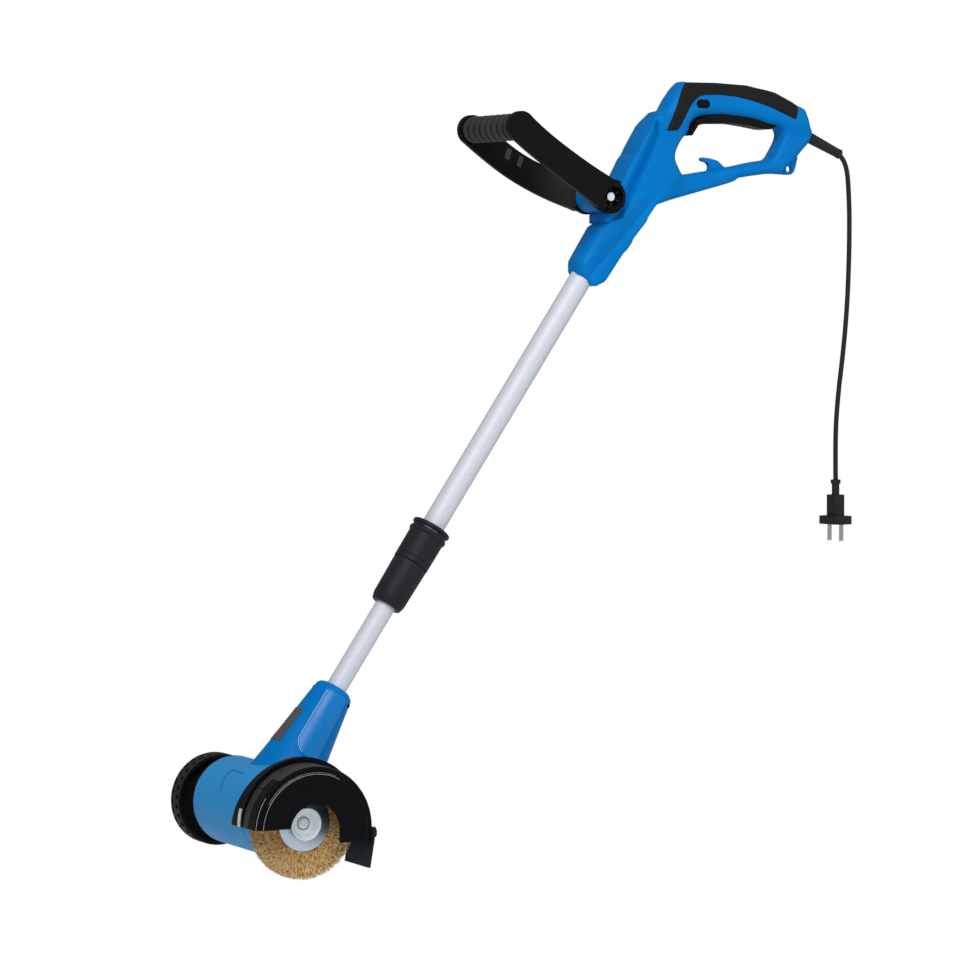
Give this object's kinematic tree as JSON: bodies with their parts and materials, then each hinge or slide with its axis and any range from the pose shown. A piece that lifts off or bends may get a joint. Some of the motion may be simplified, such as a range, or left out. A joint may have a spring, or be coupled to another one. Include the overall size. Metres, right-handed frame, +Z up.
{
  "type": "electric joint brush",
  "caption": "Hand held electric joint brush: a motor head with a guarded wire brush and a support wheel on a telescopic pole, with a loop handle, trigger and tilting second handle.",
  "frame": {"origin": "middle of the main grip, in the plane that the two handle shells meet in", "axes": "+Z up in the working attitude, +X from the motor head to the handle, -Y to the brush's side"},
  "size_m": [0.8062, 0.2584, 0.8299],
  "materials": {
    "blue_shell": "satin moulded",
    "black_plastic": "satin moulded",
    "soft_black": "soft matt",
    "label": "bare plate",
    "tube": "satin coated",
    "zinc": "zinc plated",
    "wire": "brass coated wires, most of the ring is air",
    "steel": "machined",
    "die_cast": "cast",
    "copper": "copper windings",
    "inner_plastic": "plain",
    "pin_metal": "nickel plated"
  },
  "bodies": {
    "handle": {"handle_shell_near": "blue_shell", "handle_shell_far": "blue_shell", "handle_screws": "zinc", "grip_skin": "soft_black", "trigger_pin": "steel", "switch_body": "inner_plastic", "strain_relief": "soft_black", "cord": "soft_black", "plug_body": "black_plastic", "plug_pins": "pin_metal", "upper_tube": "tube", "clamp_collar": "black_plastic", "clamp_collet": "inner_plastic", "bail_bolt": "zinc", "bail_nut": "zinc"},
    "head": {"motor_housing": "blue_shell", "rear_end_cap": "black_plastic", "gearbox_cover": "blue_shell", "bulkhead": "die_cast", "stator_core": "steel", "field_coils": "copper", "shaft_bearing_rear": "steel", "shaft_bearing_front": "steel", "carbon_brushes": "inner_plastic", "brush_holders": "inner_plastic", "ring_gear": "steel", "spindle_bearing": "steel", "guard": "black_plastic", "guard_screws": "zinc", "deflector_flap": "black_plastic", "flap_knob": "black_plastic", "wheel_axle": "zinc", "neck_shell_near": "blue_shell", "neck_shell_far": "blue_shell", "neck_screws": "zinc", "label_plate": "label", "lower_tube": "tube", "guide_bush": "inner_plastic", "coiled_lead": "inner_plastic"},
    "armature": {"motor_shaft": "steel", "armature_core": "steel", "armature_windings": "copper", "commutator": "copper", "cooling_fan": "inner_plastic", "sun_gear": "steel"},
    "planet_a": {"planet_gear_a": "steel"},
    "planet_b": {"planet_gear_b": "steel"},
    "planet_c": {"planet_gear_c": "steel"},
    "brush": {"planet_carrier": "steel", "brush_rear_flange": "zinc", "brush_side_plates": "zinc", "brush_wires": "wire", "brush_dome_flange": "zinc", "brush_bolt": "zinc"},
    "wheel": {"wheel": "black_plastic"},
    "clamp_nut": {"clamp_nut": "black_plastic"},
    "trigger": {"trigger": "black_plastic"},
    "lock_button": {"lock_button": "black_plastic"},
    "bail": {"bail_arms": "black_plastic", "bail_grip": "soft_black"}
  },
  "joints": [
    {"name": "telescope", "type": "slide", "parent": "handle", "child": "head", "axis": [0.5664, 0, 0.8241], "range_m": [-0.12, 0.095]},
    {"name": "clamp_twist", "type": "hinge", "parent": "handle", "child": "clamp_nut", "pos_m": [-0.42426, 0, -0.51872], "axis": [0.5664, 0, 0.8241], "range_deg": [0, 90]},
    {"name": "brush_spin", "type": "hinge", "parent": "head", "child": "brush", "pos_m": [-0.585, 0, -0.748], "axis": [0, 1, 0], "continuous": true},
    {"name": "armature_spin", "type": "hinge", "parent": "head", "child": "armature", "pos_m": [-0.585, 0, -0.748], "axis": [0, 1, 0], "continuous": true},
    {"name": "planet_spin_a", "type": "hinge", "parent": "brush", "child": "planet_a", "pos_m": [-0.567, 0, -0.748], "axis": [0, 1, 0], "continuous": true},
    {"name": "planet_spin_b", "type": "hinge", "parent": "brush", "child": "planet_b", "pos_m": [-0.594, 0, -0.73241], "axis": [0, 1, 0], "continuous": true},
    {"name": "planet_spin_c", "type": "hinge", "parent": "brush", "child": "planet_c", "pos_m": [-0.594, 0, -0.76359], "axis": [0, 1, 0], "continuous": true},
    {"name": "wheel_spin", "type": "hinge", "parent": "head", "child": "wheel", "pos_m": [-0.585, 0, -0.748], "axis": [0, 1, 0], "continuous": true},
    {"name": "bail_tilt", "type": "hinge", "parent": "handle", "child": "bail", "pos_m": [-0.1785, 0, -0.1045], "axis": [0, 1, 0], "range_deg": [-60, 75]},
    {"name": "trigger_pull", "type": "hinge", "parent": "handle", "child": "trigger", "pos_m": [0.037, 0, -0.0185], "axis": [0, 1, 0], "range_deg": [0, 4], "stiffness_Nm_per_rad": 6, "springref_deg": -1.72},
    {"name": "lock_press", "type": "slide", "parent": "handle", "child": "lock_button", "axis": [0, 1, 0], "range_m": [0, 0.003], "stiffness_N_per_m": 1500, "springref_m": -0.001}
  ],
  "couplings": [
    {"joint": "armature_spin", "follows": "brush_spin", "ratio": 5},
    {"joint": "planet_spin_a", "follows": "brush_spin", "ratio": -2.6667},
    {"joint": "planet_spin_b", "follows": "brush_spin", "ratio": -2.6667},
    {"joint": "planet_spin_c", "follows": "brush_spin", "ratio": -2.6667}
  ]
}
